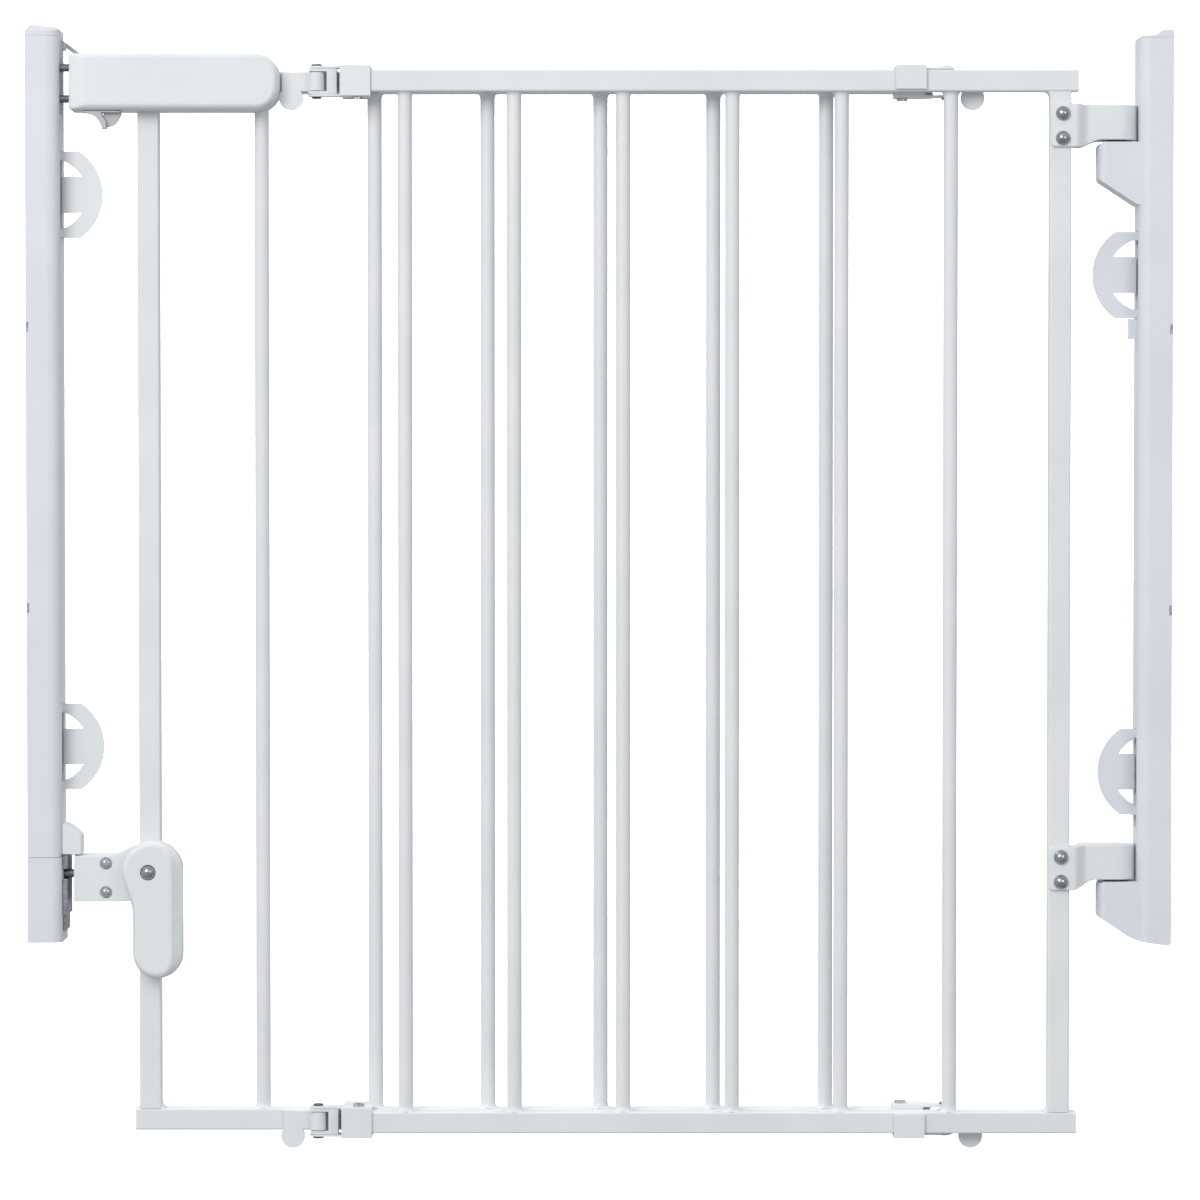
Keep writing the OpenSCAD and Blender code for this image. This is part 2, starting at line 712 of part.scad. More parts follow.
module clip_screws() color(steel) {
    at_top_rail() clip_screw();
    at_low_rail() clip_screw();
}

// ---------- upper latch ----------

housing_left = latch_wall_x + 31.3;
housing_right = housing_left + housing_l;
housing_low = 268;
housing_top = housing_low + housing_h;
housing_front_y = -18.5;
housing_split_y = -0.4;
housing_back_y = 18;
end_r = 17;
pin_y = -7;
pin_mid_z = housing_low + 19.6;
carriage_left = housing_left + 8.8;
carriage_l = 33;
carriage_h = 30.6;
latch_travel = 9;
tip_x = latch_wall_x + rail_w - 2.6;

// Outline of the housing in X and Z, set in by a distance
module housing_outline(inset) {
    w = housing_l - 2 * inset;
    h = housing_h - 2 * inset;
    r = end_r - inset;
    translate([housing_left + inset, housing_low + inset]) {
        translate([1, 0]) square([w - r - 1, h]);
        translate([0, 1]) square([w - r, h - 2]);
        for (z = [1, h - 1]) translate([1, z]) circle(1);
        translate([w - r, r]) square([r, h - 2 * r]);
        for (z = [r, h - r]) translate([w - r, z]) circle(r, $fn = 64);
    }
}

shell_t = 2;
boss_d = 6.6;
case_screw_d = 3;
case_screws = [[housing_left + 54.8, housing_top - 6.1], [housing_right - 20, housing_top - 6.1],
    [housing_left + 84.8, housing_low + 6]];

// Front half of the upper housing
module housing_front() color(cool_white) difference() {
    union() {
        difference() {
            hull() {
                wall_shape(housing_front_y + 3, housing_split_y - housing_front_y - 3) housing_outline(0);
                wall_shape(housing_front_y, 0.5) housing_outline(3);
            }
            wall_shape(housing_front_y + shell_t, 30) housing_outline(shell_t);
        }
        for (p = case_screws)
            y_rod(p[0], p[1], housing_front_y + 1.5, housing_split_y - housing_front_y - 1.5, boss_d);
        translate([carriage_left + carriage_l + 26, housing_front_y + 1.5, pin_mid_z - 6])
            cube([3, 16.5, 12]);
    }
    for (s = [-1, 1])
        x_rod(housing_left - eps, pin_y, pin_mid_z + s * latch_pin_gap / 2, 6, latch_pin_d + 2 * run);
    for (p = case_screws) y_rod(p[0], p[1], -12, 20, case_screw_d);
    translate([carriage_left - 1, pin_y - 5, housing_low - eps]) cube([latch_travel + 21, 10, 5]);
}

// Rear half of the upper housing, cut out round the rear frame's rail, post and first bar
module housing_rear() color(cool_white) difference() {
    union() {
        difference() {
            wall_shape(housing_split_y, housing_back_y - housing_split_y) housing_outline(0);
            wall_shape(housing_split_y - eps, housing_back_y - housing_split_y - shell_t + eps)
                housing_outline(shell_t);
        }
        for (p = case_screws)
            y_rod(p[0], p[1], housing_split_y, housing_back_y - housing_split_y - 1, boss_d);
    }
    for (p = case_screws) y_rod(p[0], p[1], housing_split_y - eps, 30, case_screw_d);
    translate([rear_left_x + 10, rear_y, top_z]) cube([200, tube_w, tube_w]);
    translate([rear_post_x - half_tube, rear_y, housing_low - eps]) cube([tube_w, tube_w, 5]);
    z_rod(rear_post_x + rear_pitch, rear_mid_y, housing_low - eps, 5, bar_d);
}

// Screws that hold the halves together, their heads at the back
module housing_screws() color(steel) {
    for (p = case_screws) {
        y_rod(p[0], p[1], -11, housing_back_y + 11, case_screw_d);
        y_rod(p[0], p[1], housing_back_y, 1.6, 5.6);
    }
}

// Carriage that holds both upper pins and is pushed out by its spring
module bolt_carriage() color(grey) difference() {
    translate([carriage_left, pin_y - 6.5, pin_mid_z - carriage_h / 2]) cube([carriage_l, 12, carriage_h]);
    for (s = [-1, 1])
        x_rod(carriage_left - eps, pin_y, pin_mid_z + s * latch_pin_gap / 2, 18 + eps, latch_pin_d);
    x_rod(carriage_left + carriage_l - 8, pin_y, pin_mid_z, 10, 9);
    translate([carriage_left + 3, pin_y - 4, pin_mid_z - carriage_h / 2 - eps])
        cube([16, 8, tongue_in + eps]);
}

// Two pins that reach into the upper strike
module latch_pins() color(dark_steel) {
    for (s = [-1, 1])
        x_rod(tip_x, pin_y, pin_mid_z + s * latch_pin_gap / 2, carriage_left + 18 - tip_x, latch_pin_d);
}

trigger_x = carriage_left + 14.5;
trigger_top = housing_low - 0.4;
tongue_in = 1.2;

// Finger trigger: a concave blade, a quarter-round web behind it and a tongue up into the carriage
module latch_trigger() color(grey) {
    translate([trigger_x, 0, trigger_top]) {
        wall_shape(pin_y - 6, 12) difference() {
            translate([-13.8, -12.3]) square([27.5, 12.3]);
            translate([-13.4, -14.6]) circle(13.5, $fn = 96);
            polygon([[-0.4, -1], [1, -4.5], [2.8, -7.2], [3.2, -9.4], [3.1, -13], [20, -13], [20, -1]]);
        }
        wall_shape(pin_y - 1.8, 3.6) intersection() {
            translate([2.2, 0]) circle(11.6, $fn = 96);
            translate([1, -14]) square([14, 14]);
        }
    }
    translate([carriage_left + 3, pin_y - 4, trigger_top])
        cube([16, 8, pin_mid_z - carriage_h / 2 + tongue_in - trigger_top]);
}

coil_sides = 6;
coil_steps = 12;

// Coil of round wire along +X from the origin, as one swept tube
module coil(l, r, wire, turns) {
    n = turns * coil_steps;
    points = [for (i = [0:n], j = [0:coil_sides - 1])
        let (a = 360 * i / coil_steps, b = 360 * j / coil_sides, q = r + wire / 2 * cos(b))
        [l * i / n + wire / 2 * sin(b), q * cos(a), q * sin(a)]];
    walls = [for (i = [0:n - 1], j = [0:coil_sides - 1])
        let (k = (j + 1) % coil_sides, p = i * coil_sides)
        [p + j, p + coil_sides + j, p + coil_sides + k, p + k]];
    ends = [[for (j = [0:coil_sides - 1]) j], [for (j = [coil_sides - 1:-1:0]) n * coil_sides + j]];
    polyhedron(points, concat(walls, ends));
}

// Spring behind the carriage
module carriage_spring() color(steel)
    translate([carriage_left + carriage_l - 7.6, pin_y, pin_mid_z]) coil(33.2, 3.2, 1, 9);

// ---------- lower latch ----------

// Lever: its bolt, round head and grip
lever_x = -733.5;
lever_z = -277;
lever_bolt_d = 8;
head_x = -731;
head_z = -276.5;
head_r = 22;
grip_x = -727;
grip_z = -335.5;
grip_r = 18;
arm_left = latch_wall_x + 33;
cavity_left = latch_wall_x + 37.5;
arm_right = -715;
arm_low = -298.9;
arm_top = -266;
arm_front_y = -12;
arm_split_y = -1.6;
lower_pin_z = -279;
lower_pin_y = -6;
lower_pin_d = 6;
lower_tip_x = latch_wall_x + rail_w + 1.2;
peg_drop = 14;
peg_d = 5;
lever_front_y = -26;

// Front view of the lower arm: a plate and a round head under the lever
module arm_outline() {
    translate([arm_left, arm_low]) square([arm_right - arm_left, arm_top - arm_low]);
    translate([head_x, head_z]) circle(head_r - 1, $fn = 96);
    polygon([[-764, arm_top - 4], [-764, arm_top], [-757, arm_top + 0.7], [-751, arm_top + 2.6],
        [-745, arm_top + 5.6], [-740.6, arm_top + 8], [-736, arm_top - 4]]);
}

arm_screw_x = latch_wall_x + 56.2;
arm_screw_z = [-292.3, -271.6];

// Front half of the lower arm, hollow for the pin and its spring
module lower_arm_front() color(cool_white) difference() {
    wall_shape(arm_front_y, arm_split_y - arm_front_y) arm_outline();
    translate([cavity_left, arm_front_y + 2, -285.2]) cube([31.5, 20, 11.2]);
    translate([cavity_left + 30.5, arm_front_y + 2, -297]) cube([34.5, 20, 24.4]);
    x_rod(arm_left - eps, lower_pin_y, lower_pin_z, 8, lower_pin_d + 2 * run);
    y_rod(lever_x, lever_z, arm_front_y - eps, 5, lever_bolt_d);
    translate([lever_x - 3.2, arm_front_y - eps, lever_z - peg_drop - 3.4]) cube([13, 5, 8.6]);
    for (z = arm_screw_z) y_rod(arm_screw_x, z, arm_front_y - eps, 20, 4);
}

// Rear half of the lower arm, with a block that meets the rear post
module lower_arm_rear() color(cool_white) difference() {
    union() {
        wall_shape(arm_split_y, -arm_split_y) arm_outline();
        translate([arm_left, 0, arm_low])
            cube([rear_post_x - half_tube - arm_left, tube_w, arm_top - arm_low]);
    }
    y_rod(lever_x, lever_z, arm_split_y - eps, 5, lever_bolt_d);
    for (z = arm_screw_z) y_rod(arm_screw_x, z, arm_split_y - eps, 12, 4);
}

// Two cross-head screws through the arm
module lower_arm_screws() color(steel) {
    for (z = arm_screw_z) {
        y_rod(arm_screw_x, z, arm_front_y, 20, 4);
        difference() {
            dome_head(arm_screw_x, z, arm_front_y, 7.8, 2.2);
            for (a = [0, 90]) translate([arm_screw_x, arm_front_y - 2.2, z])
                rotate([0, a, 0]) cube([4.6, 2.4, 1.3], center = true);
        }
    }
}

// Bean-shaped outline of the lever: a round head and a straight handle with a round end
module lever_outline(inset) {
    translate([head_x, head_z]) circle(head_r - inset, $fn = 64);
    translate([grip_x - grip_r + inset, grip_z]) square([2 * (grip_r - inset), 45.5]);
    translate([grip_x, grip_z]) circle(grip_r - inset, $fn = 64);
    translate([-726.5 + inset / 2, -300]) square([17.5 - 1.5 * inset, 23.5]);
}

// Lower latch lever with the peg that draws the pin back
module latch_lever() color(cool_white) difference() {
    union() {
        wall_shape(lever_front_y + 3, arm_front_y - 0.3 - lever_front_y - 3) lever_outline(0);
        wall_shape(lever_front_y, 3) lever_outline(3);
        y_rod(lever_x, lever_z - peg_drop, arm_front_y - 0.3 - eps, 7 + eps, peg_d);
    }
    y_rod(lever_x, lever_z, lever_front_y - eps, 30, lever_bolt_d + 2 * run);
    y_rod(lever_x, lever_z, lever_front_y - eps, 2.5 + eps, 11.4);
}

// Domed pivot bolt of the lever
module lever_bolt() color(steel) {
    dome_head(lever_x, lever_z, lever_front_y + 1, 10.8, 4);
    y_rod(lever_x, lever_z, lever_front_y + 1, 1.2, 10.8);
    y_rod(lever_x, lever_z, lever_front_y + 2.2, -lever_front_y - 2.2 + tube_t, lever_bolt_d);
}

lower_tail_x = cavity_left + 31.4;

// Lower pin with a tail that passes under the pivot bolt to the lever's peg
module lower_pin() color(dark_steel) {
    x_rod(lower_tip_x, lower_pin_y, lower_pin_z, lower_tail_x - lower_tip_x, lower_pin_d);
    translate([lower_tail_x, -9.5, -296.4]) cube([7, 7, 20.4]);
    difference() {
        translate([lower_tail_x + 7, -9.5, -296.4]) cube([20, 7, 13.6]);
        translate([lever_x - peg_d / 2 - 0.3, -10.5, lever_z - peg_drop - 3.2]) cube([peg_d + 0.6, 9, 7.6]);
    }
}

// Spring round the lower pin
module lower_pin_spring() color(steel)
    translate([cavity_left + 12.4, lower_pin_y, lower_pin_z]) coil(18.3, 3.7, 0.8, 6);

// ---------- strikes ----------

strike_x = latch_wall_x + rail_w;
strike_front_y = -10;
strike_plate_d = 20;
upper_strike_low = 266;
upper_strike_h = 53;
slot_play = 0.6;

// Upper strike: a plate set into the rail's side, with a hole for each pin, and behind it the stop
// arm that keeps the gate from swinging to the back
module upper_strike() color(grey) {
    difference() {
        union() {
            translate([strike_x - cover_t, strike_front_y, upper_strike_low])
                cube([cover_t, strike_plate_d, upper_strike_h]);
            translate([strike_x, 4, 313]) cube([1.4, 17, 6]);
        }
        for (s = [-1, 1])
            x_rod(strike_x - 4, pin_y, pin_mid_z + s * latch_pin_gap / 2, 6, latch_pin_d + 2 * slot_play);
    }
    wall_shape(housing_back_y + 0.4, 2.6) polygon([[strike_x, 319], [strike_x + 1.4, 319],
        [strike_x + 18, 306.6], [strike_x + 36, 293.4], [strike_x + 36, 289.6], [strike_x, 316]]);
}

lower_strike_x = strike_x + foot_t + 0.1;
lower_strike_front = -14.5;

// Lower strike: a plate on the foot with a slot for the pin, open to the front
module lower_strike() color(dark_steel) difference() {
    union() {
        translate([lower_strike_x, lower_strike_front, -308.5]) cube([3.5, 31, 42.8]);
        translate([lower_strike_x, lower_strike_front + 2, -320]) cube([2, 27, 12]);
    }
    translate([lower_tip_x - 0.6, lower_strike_front - eps, lower_pin_z - lower_pin_d / 2 - slot_play])
        cube([12, lower_pin_y + lower_pin_d / 2 + slot_play - lower_strike_front + eps,
            lower_pin_d + 2 * slot_play]);
}

// Hood over the lower strike, with a sloping top
module strike_hood() color(cool_white) wall_shape(-12, 21)
    polygon([[strike_x, -265.3], [strike_x + 14, -265.3], [strike_x + 14, -251],
        [strike_x + 7.4, -245.2], [strike_x + 3, -243], [strike_x, -242.4]]);

hinge_wall_strip();
hinge_rail();
hinge_rail_cap();
hinge_lug_upper();
hinge_lug_lower();
hinge_washers();
hinge_clip_upper();
hinge_clip_lower();
front_top_rail();
front_bottom_rail();
front_post();
front_bars();
front_end_caps();
hinge_arm_upper();
hinge_arm_lower();
hinge_pins();
hinge_arm_bolts();
sleeve_upper();
sleeve_lower();
sleeve_screws();
front_yokes();
front_pivots();
lock_lever_upper_left();
lock_lever_lower_left();
rear_top_rail();
rear_bottom_rail();
rear_post();
rear_bars();
rear_end_caps();
clip_upper();
clip_lower();
clip_screws();
rear_pivots();
lock_lever_upper_right();
lock_lever_lower_right();
housing_front();
housing_rear();
housing_screws();
bolt_carriage();
latch_pins();
latch_trigger();
carriage_spring();
lower_arm_front();
lower_arm_rear();
lower_arm_screws();
latch_lever();
lever_bolt();
lower_pin();
lower_pin_spring();
latch_wall_strip();
latch_rail();
latch_rail_cap();
latch_rail_foot();
upper_strike();
lower_strike();
strike_hood();
latch_clip_upper();
latch_clip_lower();
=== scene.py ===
import json
import math

import bmesh
import bpy
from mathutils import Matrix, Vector

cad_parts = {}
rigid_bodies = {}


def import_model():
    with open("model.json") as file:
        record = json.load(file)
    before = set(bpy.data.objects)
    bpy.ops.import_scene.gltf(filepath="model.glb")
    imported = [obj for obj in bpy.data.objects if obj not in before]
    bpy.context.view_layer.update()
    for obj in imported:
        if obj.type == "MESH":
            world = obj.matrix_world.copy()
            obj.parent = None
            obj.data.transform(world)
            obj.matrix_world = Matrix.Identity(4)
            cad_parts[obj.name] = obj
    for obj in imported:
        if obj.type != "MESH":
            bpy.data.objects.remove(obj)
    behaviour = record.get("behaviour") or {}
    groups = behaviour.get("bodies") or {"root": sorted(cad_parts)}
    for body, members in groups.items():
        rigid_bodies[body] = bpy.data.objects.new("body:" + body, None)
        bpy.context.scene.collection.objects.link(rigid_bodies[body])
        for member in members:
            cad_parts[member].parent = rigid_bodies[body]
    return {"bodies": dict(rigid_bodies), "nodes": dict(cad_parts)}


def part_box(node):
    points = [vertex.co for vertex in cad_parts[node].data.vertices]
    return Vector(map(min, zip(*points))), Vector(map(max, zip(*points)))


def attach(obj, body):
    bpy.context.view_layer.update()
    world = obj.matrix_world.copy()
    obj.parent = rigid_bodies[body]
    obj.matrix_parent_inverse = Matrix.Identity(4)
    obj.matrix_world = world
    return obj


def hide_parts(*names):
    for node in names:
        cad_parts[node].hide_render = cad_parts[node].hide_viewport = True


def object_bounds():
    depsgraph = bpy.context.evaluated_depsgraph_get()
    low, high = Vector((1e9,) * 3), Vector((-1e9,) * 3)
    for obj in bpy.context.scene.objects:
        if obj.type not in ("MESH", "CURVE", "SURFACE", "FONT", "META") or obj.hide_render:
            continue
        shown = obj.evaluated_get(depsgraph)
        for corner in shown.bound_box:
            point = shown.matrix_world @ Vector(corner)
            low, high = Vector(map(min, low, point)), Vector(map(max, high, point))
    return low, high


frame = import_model()
cad_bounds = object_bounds()
nodes = frame["nodes"]
body_of = {}
for body, empty in frame["bodies"].items():
    for child in empty.children:
        body_of[child.name] = body
mm = 0.001


# ---------- materials ----------

def noise(tree, place, scale, detail=3.0, twist=0.0):
    made = tree.nodes.new("ShaderNodeTexNoise")
    made.inputs["Scale"].default_value = scale
    made.inputs["Detail"].default_value = detail
    made.inputs["Distortion"].default_value = twist
    tree.links.new(place, made.inputs["Vector"])
    return made.outputs["Fac"]


def remap(tree, value, low, high, to_low, to_high):
    made = tree.nodes.new("ShaderNodeMapRange")
    for name, number in (("From Min", low), ("From Max", high), ("To Min", to_low), ("To Max", to_high)):
        made.inputs[name].default_value = number
    tree.links.new(value, made.inputs["Value"])
    return made.outputs["Result"]


def relief(tree, place, size, detail, under=None):
    """Bumps of one size, a pair of noise scale and height in metres, laid over another relief."""
    made = tree.nodes.new("ShaderNodeBump")
    made.inputs["Strength"].default_value = 0.7
    made.inputs["Distance"].default_value = size[1]
    tree.links.new(noise(tree, place, size[0], detail), made.inputs["Height"])
    if under:
        tree.links.new(under, made.inputs["Normal"])
    return made.outputs["Normal"]


def surface(name, dark, light, rough, metal=0.0, specular=0.5, mottle=16.0, coarse=(240.0, 0.00002),
            fine=(2600.0, 0.000008), speck=0.0):
    """Clouded colour, an uneven gloss, faint specks, and a coarse and a fine relief."""
    made = bpy.data.materials.new(name)
    made.use_nodes = True
    tree = made.node_tree
    link = tree.links.new
    shader = tree.nodes["Principled BSDF"]
    place = tree.nodes.new("ShaderNodeTexCoord").outputs["Object"]

    tint = tree.nodes.new("ShaderNodeValToRGB")
    tint.color_ramp.elements[0].position = 0.32
    tint.color_ramp.elements[0].color = (*dark, 1.0)
    tint.color_ramp.elements[1].position = 0.68
    tint.color_ramp.elements[1].color = (*light, 1.0)
    link(noise(tree, place, mottle, 5.0, 0.3), tint.inputs["Fac"])
    colour = tint.outputs["Color"]
    if speck:
        dust = remap(tree, noise(tree, place, 900.0, 2.0), 0.66, 0.74, 0.0, speck)
        blend = tree.nodes.new("ShaderNodeMix")
        blend.data_type = "RGBA"
        blend.inputs["B"].default_value = (*[c * 0.6 for c in dark], 1.0)
        link(dust, blend.inputs["Factor"])
        link(colour, blend.inputs["A"])
        colour = blend.outputs["Result"]
    link(colour, shader.inputs["Base Color"])

    gloss = noise(tree, place, 55.0, 6.0, 0.8)
    link(remap(tree, gloss, 0.3, 0.7, rough - 0.06, rough + 0.08), shader.inputs["Roughness"])
    link(relief(tree, place, fine, 3.0, relief(tree, place, coarse, 2.0)), shader.inputs["Normal"])
    shader.inputs["Metallic"].default_value = metal
    shader.inputs["Specular IOR Level"].default_value = specular
    return made


paint = surface("white_powder_coat", (0.70, 0.725, 0.745), (0.745, 0.765, 0.785), 0.36, specular=0.4,
                coarse=(620.0, 0.00003), fine=(2400.0, 0.000006), speck=0.05)
plastic = surface("white_moulding", (0.70, 0.735, 0.76), (0.73, 0.765, 0.79), 0.42, specular=0.4,
                  coarse=(90.0, 0.00003), fine=(3200.0, 0.000010), speck=0.03)
cover = surface("white_cover", (0.665, 0.69, 0.745), (0.70, 0.725, 0.78), 0.42, specular=0.4,
                coarse=(90.0, 0.00003), fine=(3200.0, 0.000010), speck=0.03)
# dark grey that paints the shadow line in the joint at the latch rail's foot
painted_shadow_grey = surface("seam_shadow", (0.20, 0.21, 0.23), (0.27, 0.28, 0.30), 0.6, specular=0.2)
grey_plastic = surface("grey_moulding", (0.44, 0.455, 0.475), (0.50, 0.515, 0.535), 0.46, specular=0.4,
                       coarse=(90.0, 0.00002), fine=(3200.0, 0.000010))
zinc = surface("zinc_plate", (0.34, 0.38, 0.40), (0.66, 0.70, 0.72), 0.24, metal=1.0, mottle=520.0,
               coarse=(700.0, 0.00002), fine=(3600.0, 0.000006))
bright = surface("bright_steel", (0.30, 0.31, 0.34), (0.44, 0.45, 0.48), 0.15, metal=1.0, mottle=260.0,
                 coarse=(400.0, 0.000006), fine=(5200.0, 0.000003))
dark = surface("dark_steel", (0.085, 0.09, 0.10), (0.17, 0.18, 0.20), 0.42, metal=0.55, mottle=180.0,
               coarse=(500.0, 0.00003), fine=(2600.0, 0.00001))
strike_grey = surface("strike_zinc", (0.20, 0.21, 0.23), (0.36, 0.37, 0.40), 0.40, metal=0.75, mottle=240.0,
                      coarse=(500.0, 0.00002), fine=(2600.0, 0.00001))

look = {name: paint for name in nodes}
for finish, names in (
        (plastic, ("hinge_arm_upper", "hinge_arm_lower", "housing_front", "housing_rear", "lower_arm_front",
                   "lower_arm_rear", "latch_lever", "strike_hood", "latch_clip_upper", "latch_clip_lower")),
        (cover, ("hinge_rail", "hinge_rail_cap", "hinge_lug_upper", "hinge_lug_lower", "latch_rail",
                 "latch_rail_cap", "latch_rail_foot", "hinge_clip_upper", "hinge_clip_lower")),
        (grey_plastic, ("bolt_carriage", "latch_trigger", "upper_strike")),
        (zinc, ("hinge_wall_strip", "latch_wall_strip", "sleeve_screws", "clip_screws", "housing_screws",
                "lower_arm_screws", "carriage_spring", "lower_pin_spring")),
        (bright, ("hinge_arm_bolts", "lever_bolt", "hinge_pins")),
        (dark, ("hinge_washers", "latch_pins", "lower_pin", "front_pivots", "rear_pivots")),
        (strike_grey, ("lower_strike",))):
    for name in names:
        look[name] = finish
for name, thing in nodes.items():
    thing.data.materials.clear()
    thing.data.materials.append(look[name])


# ---------- shape tools: outlines in millimetres, solids in metres ----------

def box_mm(node):
    low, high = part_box(node)
    return [c * 1000 for c in low], [c * 1000 for c in high]


def quarter(steps):
    """Angles from 0 to 90 degrees."""
    return [math.radians(90 * k / steps) for k in range(steps + 1)]


def fall(start, end, steps, power):
    """Depths from start to end, closer together towards the end when power is above 1."""
    return [end + (start - end) * (1 - k / steps) ** power for k in range(steps + 1)]


def smooth(x, x0, x1, a, b):
    """Goes from a at x0 to b at x1, level at both ends."""
    t = min(1.0, max(0.0, (x - x0) / (x1 - x0)))
    return a + (b - a) * t * t * (3 - 2 * t)


def bow(amount, depth, full):
    """Inset of a quarter-round rim at a depth behind the face."""
    return amount * (1 - math.sqrt(max(0.0, 1 - (1 - min(depth, full) / full) ** 2)))


def arc(x, z, r, start, end, steps):
    """Points of an arc between two angles in degrees."""
    turns = [math.radians(start + (end - start) * k / steps) for k in range(steps + 1)]
    return [Vector((x + r * math.cos(t), z + r * math.sin(t))) for t in turns]


def circle(x, z, r, count=40):
    """Clockwise outline of a round hole."""
    return arc(x, z, r, 0, -360, count)[:-1]


def rounded(corners, bend=12):
    """Anticlockwise outline from corners (x, z, radius)."""
    out = []
    count = len(corners)
    for i, (x, z, r) in enumerate(corners):
        here = Vector((x, z))
        back = (Vector(corners[i - 1][:2]) - here).normalized()
        on = (Vector(corners[(i + 1) % count][:2]) - here).normalized()
        half = math.acos(max(-1.0, min(1.0, back.dot(on)))) / 2
        reach = r / math.tan(half)
        middle = here + (back + on).normalized() * (r / math.sin(half))
        start = here + back * reach - middle
        end = here + on * reach - middle
        a = math.atan2(start.y, start.x)
        b = math.atan2(end.y, end.x)
        while b - a > math.pi:
            b -= 2 * math.pi
        while b - a < -math.pi:
            b += 2 * math.pi
        out += arc(middle.x, middle.y, r, math.degrees(a), math.degrees(b), bend)
    return out


def inset(outline, amount):
    """The outline moved inwards: amount is a number, or a rule of the outward normal."""
    out = []
    for i, here in enumerate(outline):
        one = here - outline[i - 1]
        two = outline[(i + 1) % len(outline)] - here
        if one.length < 1e-6:
            one = two
        if two.length < 1e-6:
            two = one
        one.normalize()
        two.normalize()
        n1 = Vector((one.y, -one.x))
        m = n1 + Vector((two.y, -two.x))
        m.normalize()
        w = amount(m) if callable(amount) else amount
        out.append(here - m * (w / max(0.4, m.dot(n1))))
    return out


def soft(left, right, under, over):
    """Inset that differs on the four sides and changes smoothly between them."""
    def rule(n):
        side = left if n.x < 0 else right
        rise = under if n.y < 0 else over
        return side * n.x * n.x + rise * n.y * n.y
    return rule


def lift(outline, y):
    """The outline as a ring at depth y."""
    return [Vector((p.x, y, p.y)) * mm for p in outline]


def round_over(outline, y_from, y_to, r_from, r_to):
    """Rings of a plate with rounded rims, from one face to the other."""
    way = 1 if y_to > y_from else -1
    rings = []
    for t in quarter(4):
        near = y_from + way * r_from * (1 - math.cos(t))
        rings.append(lift(inset(outline, r_from * (1 - math.sin(t))), near))
    for t in quarter(4):
        far = y_to - way * r_to * (1 - math.sin(t))
        rings.append(lift(inset(outline, r_to * (1 - math.cos(t))), far))
    return rings


def bridge(shape, rows):
    """Faces between each row of vertices and the next."""
    count = len(rows[0])
    for a, b in zip(rows, rows[1:]):
        for i in range(count):
            j = (i + 1) % count
            shape.faces.new((a[i], a[j], b[j], b[i]))


def add_solid(shape, rings):
    """A closed solid through the rings, added to a shape."""
    rows = [[shape.verts.new(p) for p in ring] for ring in rings]
    bridge(shape, rows)
    shape.faces.new(rows[0])
    shape.faces.new(rows[-1])


def skin(stacks):
    """A closed solid. Each stack is a list of rings; the first is the outside, the rest are holes."""
    shape = bmesh.new()
    caps = ([], [])
    for rings in stacks:
        rows = [[shape.verts.new(p) for p in ring] for ring in rings]
        bridge(shape, rows)
        caps[0].append(rows[0])
        caps[1].append(rows[-1])
    for cap in caps:
        if len(cap) == 1:
            shape.faces.new(cap[0])
            continue
        edges = [shape.edges.get((ring[i - 1], ring[i])) for ring in cap for i in range(len(ring))]
        bmesh.ops.triangle_fill(shape, use_beauty=True, edges=edges)
    return shape


def keep(shape, name, node, stands_for, sharp=32, material=None):
    """A finished shape becomes a piece that rides with a node's body and takes its finish."""
    bmesh.ops.recalc_face_normals(shape, faces=shape.faces)
    mesh = bpy.data.meshes.new(name)
    shape.to_mesh(mesh)
    shape.free()
    for face in mesh.polygons:
        face.use_smooth = True
    mesh.set_sharp_from_angle(angle=math.radians(sharp))
    mesh.materials.append(material or look[node])
    piece = bpy.data.objects.new(name, mesh)
    bpy.context.collection.objects.link(piece)
    even = piece.modifiers.new("even", "WEIGHTED_NORMAL")
    even.keep_sharp = True
    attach(piece, body_of[node])
    if stands_for:
        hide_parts(*stands_for)


# ---------- carried-over shapes with softened edges ----------

merge_gap = 0.004
flat_angle = math.radians(0.6)
edge_angle = math.radians(28)


def refine(node, width):
    """A node's own shape with its triangles merged and its sharp edges rounded over a width."""
    shape = bmesh.new()
    shape.from_mesh(nodes[node].data)
    bmesh.ops.remove_doubles(shape, verts=shape.verts, dist=merge_gap * mm)
    bmesh.ops.dissolve_limit(shape, angle_limit=flat_angle, verts=shape.verts, edges=shape.edges)
    if width:
        edges = [e for e in shape.edges if len(e.link_faces) == 2 and e.calc_face_angle(0) > edge_angle]
        bmesh.ops.bevel(shape, geom=edges, offset=width * mm, offset_type="OFFSET", segments=2,
                        profile=0.5, affect="EDGES", clamp_overlap=True)
    keep(shape, node + "_finished", node, (node,))


